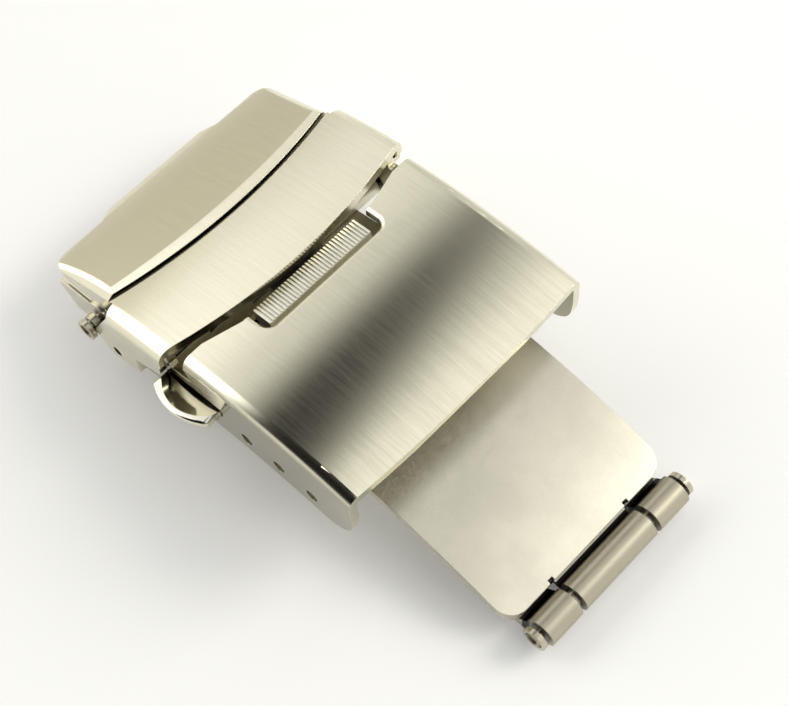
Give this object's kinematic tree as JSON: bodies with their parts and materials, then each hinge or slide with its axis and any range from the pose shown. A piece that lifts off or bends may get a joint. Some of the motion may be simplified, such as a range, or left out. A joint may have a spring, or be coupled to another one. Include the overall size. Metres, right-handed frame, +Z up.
{
  "type": "deployant clasp",
  "caption": "Curved steel deployant clasp for a watch strap, with a safety flap, a push button and folding blades, closed.",
  "frame": {"origin": "centre of the middle adjustment hole, half way across the cover", "axes": "+X along the clasp towards the fold, +Y across it along the adjustment holes, +Z up out of the cover's outer face"},
  "size_m": [0.0406, 0.023, 0.0097],
  "materials": {
    "brushed_steel": "brushed",
    "satin_steel": "satin",
    "polished_steel": "polished",
    "inner_steel": "satin",
    "spring_steel": "satin"
  },
  "bodies": {
    "base": {"base_blade": "satin_steel", "catch_post": "polished_steel", "strap_lug": "polished_steel", "strap_bar": "polished_steel", "strap_bar_spring": "spring_steel", "fold_bar": "polished_steel", "fold_bar_tip_left": "polished_steel", "fold_bar_tip_right": "polished_steel"},
    "blade": {"middle_blade": "satin_steel"},
    "cover": {"cover": "brushed_steel", "button_guide": "inner_steel", "cover_hinge_pin": "inner_steel"},
    "flap": {"safety_flap": "brushed_steel", "flap_lip": "polished_steel", "flap_pin_left": "polished_steel", "flap_pin_right": "polished_steel"},
    "button": {"push_button": "polished_steel", "button_spring": "spring_steel"},
    "bar_tip_left": {"strap_bar_tip_left": "polished_steel"},
    "bar_tip_right": {"strap_bar_tip_right": "polished_steel"}
  },
  "joints": [
    {"name": "blade_fold", "type": "hinge", "parent": "base", "child": "blade", "pos_m": [0.01746, 0, -0.00396], "axis": [0, 1, 0], "range_deg": [0, 160]},
    {"name": "cover_fold", "type": "hinge", "parent": "blade", "child": "cover", "pos_m": [-0.01134, 0, -0.00192], "axis": [0, 1, 0], "range_deg": [-160, 0]},
    {"name": "flap_hinge", "type": "hinge", "parent": "cover", "child": "flap", "pos_m": [-0.01032, 0, 0.00109], "axis": [0, 1, 0], "range_deg": [0, 35]},
    {"name": "button_slide", "type": "slide", "parent": "cover", "child": "button", "axis": [0, 1, 0], "range_m": [0, 0.0008], "stiffness_N_per_m": 150},
    {"name": "bar_tip_left_slide", "type": "slide", "parent": "base", "child": "bar_tip_left", "axis": [0, -1, 0], "range_m": [0, 0.0002], "stiffness_N_per_m": 150},
    {"name": "bar_tip_right_slide", "type": "slide", "parent": "base", "child": "bar_tip_right", "axis": [0, 1, 0], "range_m": [0, 0.0002], "stiffness_N_per_m": 150}
  ],
  "couplings": [
    {"joint": "cover_fold", "follows": "blade_fold", "ratio": -1}
  ]
}
